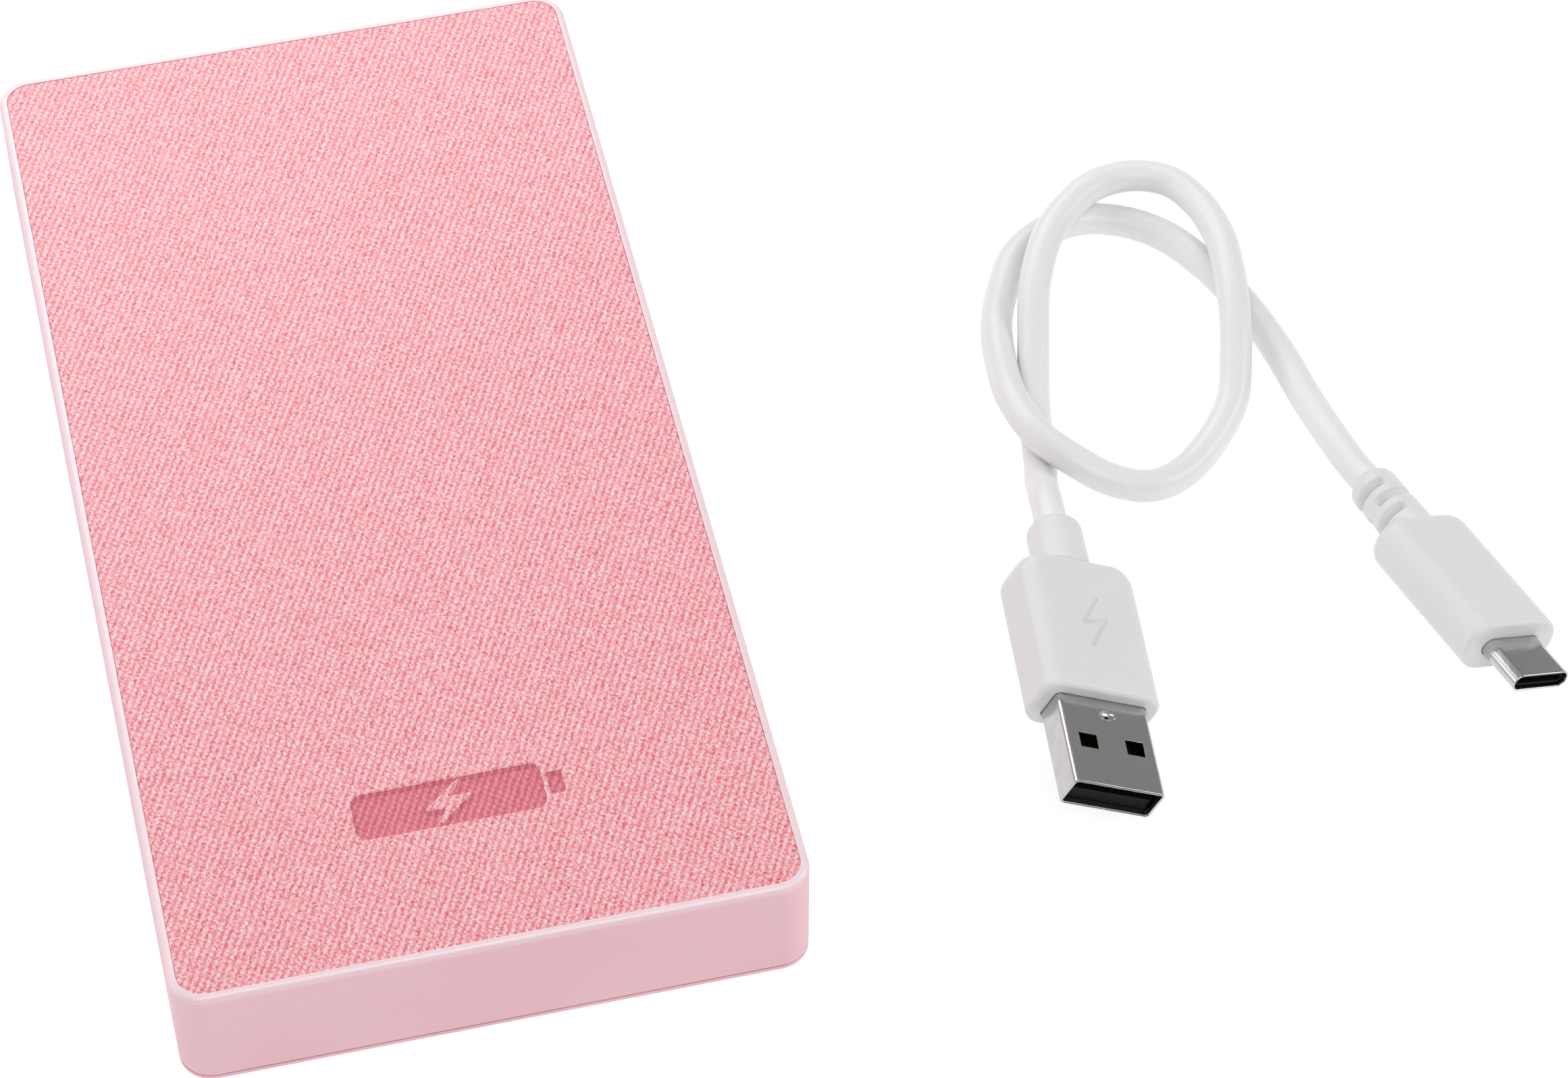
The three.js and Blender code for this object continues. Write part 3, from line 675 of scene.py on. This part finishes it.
def insert_a():
    back = block("back", width=10.7, length=2.4, height=3.6, x=0, y=-1.8, low=-1.85)
    tongue = block("tongue", width=10.7, length=11.2, height=1.75, x=0, y=-6.15, low=-1.85)
    core = combine(back, tongue, "UNION")
    piece = plug_piece("usb_a_core", core, "plug_insulator", PLUG_A, "usb_a_plug_insert")
    soften(piece, 0.12 * MM)
    contacts = []
    for index, (x, length) in enumerate(((-3.5, 8.6), (-1.0, 7.6), (1.0, 7.6), (3.5, 8.6))):
        strip = block("strip", width=1.0, length=length, height=0.12, x=x, y=-11.0 + length / 2, low=-0.1)
        name = f"usb_a_contact_{index + 1}"
        contact = plug_piece(name, strip, "nickel_strip", PLUG_A, look="contact_gold")
        contacts.append(soften(contact, 0.03 * MM))
    return [piece, *contacts]


# The USB-C strain relief's slots: where along it, the angle each is centred on and its half span.
RELIEF_SLOTS = ((7.2, 223.0, 104.0), (4.8, 6.0, 146.0), (2.4, 223.0, 104.0))
SLOT_WIDTH = 1.4
SLOT_DEPTH = 1.1


def ribbed_relief(length):
    """The USB-C plug's strain relief: a sleeve with C-shaped slots cut from alternate sides."""
    count, steps, base_radius, tip = 120, 130, 3.1, 10.0
    start, taper, rounding_length, rounding_drop = -1.4, 0.14, 1.35, 1.15
    sections = []
    for step in range(steps + 1):
        along = start + (tip - start) * step / steps
        rounding = max(0.0, 1.0 - (tip - along) / rounding_length)
        radius = base_radius - taper * min(max(along, 0.0) / tip, 1.0)
        radius -= rounding_drop * (1 - math.sqrt(1 - rounding**2))
        ring = []
        for k in range(count):
            turn = 2 * math.pi * k / count
            cut = 0.0
            for centre, middle, span in RELIEF_SLOTS:
                off = abs((math.degrees(turn) - middle + 180) % 360 - 180)
                beyond = max(0.0, math.radians(off - span)) * radius
                share = min(math.hypot(along - centre, beyond) / (SLOT_WIDTH / 2), 1.0)
                cut = max(cut, (1 - share**2) ** 1.3)
            r = radius - SLOT_DEPTH * cut
            ring.append((r * math.cos(turn) * MM, length + along * MM, r * math.sin(turn) * MM))
        sections.append(ring)
    return loft("ribbed_relief", sections)


def overmould_c():
    length = 21.0 * MM
    grip = grip_skin(
        "usb_c_grip", 6.72 * MM, 3.4 * MM, length,
        corner=3.25 * MM, front=0.5 * MM, rear_x=2.0 * MM, rear_z=1.3 * MM)
    grip = combine(grip, ribbed_relief(length), "UNION")
    pocket = round_rect(4.22 * MM, 1.3 * MM, radius=1.29 * MM, arc=10)
    grip = combine(grip, prism("pocket", pocket, -1 * MM, POCKET_DEPTH, "Y"), "DIFFERENCE")
    return soften(plug_piece("usb_c_grip", grip, "lead_white", PLUG_C, "usb_c_plug_overmould"))


def shell_c():
    shell = shell_skin(
        "usb_c_shell", half_x=4.125 * MM, half_z=1.2 * MM, corner=1.195 * MM, wall=0.26 * MM,
        back=SHELL_BACK, front=-6.65 * MM, arc=14)
    return soften(plug_piece("usb_c_shell", shell, "plug_steel", PLUG_C, "usb_c_plug_shell"))


def insert_c():
    outline = round_rect(3.6 * MM, 0.7 * MM, radius=0.68 * MM, arc=10)
    outer = prism("core", outline, -6.2 * MM, -0.6 * MM, "Y")
    slot = block("slot", width=6.6, length=5.0, height=0.8, x=0, y=-4.1, low=-0.4)
    core = combine(outer, slot, "DIFFERENCE")
    return soften(plug_piece("usb_c_core", core, "plug_insulator", PLUG_C, "usb_c_plug_insert"), 0.04 * MM)


plug_pieces = [overmould_a(), shell_a(), *insert_a(), overmould_c(), shell_c(), insert_c()]

# ---- Fabric top -----------------------------------------------------------------------------

FABRIC_HALF = (35.24, 70.34)
FABRIC_CORNER = 2.9
FABRIC_UNDER = 14.86
FABRIC_ROLL = 0.1
FABRIC_RINGS = 7
YARN_STEP = 0.27
PATCH_STEP = 0.12
YARN_WANDER = 0.02

# The battery sign pressed into the fabric: how wide the slope round it is, how far its case sits
# left of the middle to leave room for the terminal, and the bolt that is left standing in it.
MARK_SLOPE = 0.28
CASE_SHIFT = 1.15
CASE_CORNER = 1.3
TERMINAL_HALF = (0.8, 1.5)
TERMINAL_CORNER = 0.2
BOLT_HEIGHT = 5.6
BOLT_SWELL = 0.22


def rounded_box(u, v, half_x, half_y, corner):
    """Signed distance to a rectangle with rounded corners; negative inside."""
    across, along = np.abs(u) - half_x + corner, np.abs(v) - half_y + corner
    outside = np.hypot(np.maximum(across, 0), np.maximum(along, 0))
    return outside + np.minimum(np.maximum(across, along), 0) - corner


def battery_sign(x, y):
    """Signed distance, in millimetres, to a battery with a bolt left standing in it; negative inside."""
    u, v = x - MARK_CENTRE[0], y - MARK_CENTRE[1]
    case = rounded_box(u + CASE_SHIFT, v, MARK_HALF[0] - CASE_SHIFT, MARK_HALF[1], CASE_CORNER)
    terminal = rounded_box(u - MARK_HALF[0] + TERMINAL_HALF[0], v, *TERMINAL_HALF, TERMINAL_CORNER)
    bolt = polygon_distance(u + CASE_SHIFT, v, bolt_outline(BOLT_HEIGHT)) - BOLT_SWELL
    return np.maximum(np.minimum(case, terminal), -bolt)


def polygon_distance(x, y, outline):
    """Signed distance from points to a closed outline; negative inside."""
    nearest = np.full(x.shape, np.inf)
    inside = np.zeros(x.shape, bool)
    for (ax, ay), (bx, by) in zip(outline, outline[1:] + outline[:1]):
        ex, ey = bx - ax, by - ay
        share = np.clip(((x - ax) * ex + (y - ay) * ey) / (ex * ex + ey * ey), 0, 1)
        nearest = np.minimum(nearest, np.hypot(x - ax - ex * share, y - ay - ey * share))
        if ey:
            inside ^= ((ay > y) != (by > y)) & (x < ax + (y - ay) * ex / ey)
    return np.where(inside, -nearest, nearest)


def fabric_rings():
    """Rings from the fabric's tucked edge, up over its roll, to the flat of its top."""
    straight = int(2 * FABRIC_HALF[1] / YARN_STEP)
    base = round_rect(1.0, 1.0, 0.1, 12, straight)
    count = len(base)
    rng = np.random.default_rng(7)
    bulge = np.convolve(np.tile(rng.normal(0, 1, count), 3), np.hanning(5) / 2, "same")[count:2 * count]
    rings = []
    for step in range(FABRIC_RINGS + 1):
        angle = math.pi / 2 * step / FABRIC_RINGS
        inset = FABRIC_ROLL * (1 - math.cos(angle))
        height = FABRIC_TOP - FABRIC_ROLL * (1 - math.sin(angle))
        half_x, half_y = FABRIC_HALF[0] - inset, FABRIC_HALF[1] - inset
        ring = round_rect(half_x, half_y, FABRIC_CORNER - inset, 12, straight)
        wander = YARN_WANDER * math.cos(angle) + YARN_WANDER * math.sin(2 * angle)
        centre = np.array(ring)
        outward = centre / np.maximum(np.abs(centre).max(axis=1, keepdims=True), 1e-9)
        moved = centre - outward * (np.abs(bulge)[:, None] * wander)
        rings.append([(x, y, height) for x, y in moved])
    low = [(x, y, FABRIC_UNDER) for x, y, _ in rings[0]]
    return [low, *rings]


def pressed_patch(half):
    """The points of a fine grid over the mark, as three grids of their X, Y and Z."""
    columns = np.linspace(-half[0], half[0], int(2 * half[0] / PATCH_STEP)) + MARK_CENTRE[0]
    rows = np.linspace(-half[1], half[1], int(2 * half[1] / PATCH_STEP)) + MARK_CENTRE[1]
    x, y = np.meshgrid(columns, rows)
    share = np.clip(0.5 - battery_sign(x, y) / MARK_SLOPE, 0, 1)
    return x, y, FABRIC_TOP - MARK_DEPTH * share * share * (3 - 2 * share)


def grid_faces(start, wide, tall):
    """The faces of a grid whose points begin at a number, and the loop of points round its edge."""
    faces = []
    for j in range(tall - 1):
        for i in range(wide - 1):
            a = start + j * wide + i
            faces.append((a, a + 1, a + wide + 1, a + wide))
    edge = [start + i for i in range(wide)]
    edge += [start + j * wide + wide - 1 for j in range(1, tall)]
    edge += [start + (tall - 1) * wide + i for i in range(wide - 2, -1, -1)]
    edge += [start + j * wide for j in range(tall - 2, 0, -1)]
    return faces, edge


def flat_between(points, outer, edge, half):
    """Triangles over the flat fabric between its rounded edge and the patch round the mark."""
    loop = outer + edge
    flat = [Vector(points[i][:2]) for i in loop]
    bounds = [(i, (i + 1) % len(outer)) for i in range(len(outer))]
    bounds += [(len(outer) + i, len(outer) + (i + 1) % len(edge)) for i in range(len(edge))]
    triangles = delaunay_2d_cdt(flat, bounds, [], 0, 1e-7)[2]
    kept = []
    for triangle in triangles:
        middle = sum((flat[i] for i in triangle), Vector((0, 0))) / 3
        in_patch = abs(middle.x - MARK_CENTRE[0]) < half[0] and abs(middle.y - MARK_CENTRE[1]) < half[1]
        if not in_patch:
            kept.append(tuple(loop[i] for i in triangle))
    return kept


def fabric_top():
    """The woven cover: a rounded edge, a flat top and a fine patch with the mark pressed in."""
    rings = fabric_rings()
    count = len(rings[0])
    points = [p for ring in rings for p in ring]
    outer = list(range(len(points) - count, len(points)))
    faces = [tuple(reversed(range(count)))] + skin_faces(len(rings), count)
    half = [MARK_HALF[0] + PATCH_MARGIN, MARK_HALF[1] + PATCH_MARGIN]
    x, y, z = pressed_patch(half)
    patch, edge = grid_faces(len(points), x.shape[1], x.shape[0])
    points += list(zip(x.ravel(), y.ravel(), z.ravel()))
    faces += patch + flat_between(points, outer, edge, half)
    mesh = mesh_from("top_fabric_sheet", [Vector(p) * MM for p in points], faces)
    piece = place_object("top_fabric_sheet", mesh, "top_fabric", "power_bank")
    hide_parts("fabric_cover")
    normals = piece.modifiers.new("normals", "WEIGHTED_NORMAL")
    normals.mode = "FACE_AREA"


fabric_top()

# ---- Sockets' contacts ----------------------------------------------------------------------

# The height of the middle of both sockets.
PORT_HEIGHT = 8.1


def socket_contacts():
    """Four sprung strips under the USB-A socket's tongue, twelve on each face of the USB-C one."""
    low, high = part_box("usb_a_socket_tongue")
    middle = (low.x + high.x) / 2 / MM
    for index, offset in enumerate((-3.5, -1.0, 1.0, 3.5)):
        strip = block(
            "strip", width=1.0, length=9.0, height=0.22,
            x=middle + offset, y=high.y / MM - 4.7, low=PORT_HEIGHT + 0.15)
        name = f"usb_a_socket_contact_{index + 1}"
        soften(place_object(name, strip, "nickel_strip", "power_bank", "contact_gold"), 0.05 * MM)
    low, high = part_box("usb_c_socket_tongue")
    middle = (low.x + high.x) / 2 / MM
    for index in range(12):
        x = middle + (index - 5.5) * 0.5
        strip = block(
            "strip", width=0.26, length=3.4, height=0.78, x=x, y=high.y / MM - 1.9, low=PORT_HEIGHT - 0.39)
        name = f"usb_c_socket_contact_{index + 1}"
        place_object(name, strip, "nickel_strip", "power_bank", "contact_gold")


socket_contacts()

# ---- CAD pieces that stay -------------------------------------------------------------------

EDGE_ROUNDING = {
    "main_frame": 0.06, "bottom_cover": 0.1, "power_button": 0.3, "light_guide": 0.12,
    "usb_a_socket_shell": 0.08, "usb_c_socket_shell": 0.06, "usb_a_socket_tongue": 0.15,
    "usb_c_socket_tongue": 0.08, "power_inductor": 0.4,
}
DEFAULT_ROUNDING = 0.08


def dress_cad_nodes():
    slots = {part["node"]: part["material_slot"] for part in frame["record"]["subparts"]}
    for name, node in frame["nodes"].items():
        node.data.materials.clear()
        node.data.materials.append(MATERIALS[slots[name]])
        if node.hide_render:
            continue
        node.data.polygons.foreach_set("use_smooth", [True] * len(node.data.polygons))
        if "custom_normal" in node.data.attributes:
            node.data.attributes.remove(node.data.attributes["custom_normal"])
        soften(node, EDGE_ROUNDING.get(name, DEFAULT_ROUNDING) * MM)


dress_cad_nodes()

# ---- Floor and light ------------------------------------------------------------------------

AIM = Vector((0.03, 0, 0))
FLOOR_SIZE = 6.0
FLOOR_GLOW = 0.76
SKY_STRENGTH = 0.33


def make_floor():
    """A white floor that glows a little, so that it shows no shadow, as in the photograph."""
    bpy.ops.mesh.primitive_plane_add(size=FLOOR_SIZE, location=AIM)
    floor = bpy.context.active_object
    floor.name = "floor"
    s = Shader("floor_white")
    floor.data.materials.append(s.set(
        Base_Color=linear(158, 158, 158), Roughness=0.9, Specular_IOR_Level=0.1,
        Emission_Color=(1, 1, 1, 1), Emission_Strength=FLOOR_GLOW))


def area_light(name, place, size, watts):
    """A soft lamp that faces the middle of the scene and doesn't show itself."""
    light = bpy.data.lights.new(name, "AREA")
    light.shape = "RECTANGLE"
    light.size, light.size_y = size
    light.energy = watts
    lamp = bpy.data.objects.new(name, light)
    bpy.context.scene.collection.objects.link(lamp)
    lamp.location = place
    lamp.rotation_euler = (AIM - Vector(place)).to_track_quat("-Z", "Y").to_euler()
    lamp.visible_camera = False


def make_light():
    world = bpy.data.worlds.new("studio")
    bpy.context.scene.world = world
    world.use_nodes = True
    background = world.node_tree.nodes["Background"]
    background.inputs[0].default_value = (1, 1, 1, 1)
    background.inputs[1].default_value = SKY_STRENGTH
    area_light("back_key", (-0.06, 0.32, 0.27), size=(0.5, 0.22), watts=1.0)
    area_light("front_top", (0.08, -0.42, 0.66), size=(0.7, 0.34), watts=2.5)
    area_light("left_fill", (-0.8, 0.1, 0.3), size=(0.6, 0.4), watts=1.3)
    area_light("right_fill", (0.8, -0.12, 0.42), size=(0.4, 0.3), watts=1.8)
    make_floor()
    view = bpy.context.scene.view_settings
    view.view_transform = "Standard"
    view.look = "None"


make_light()
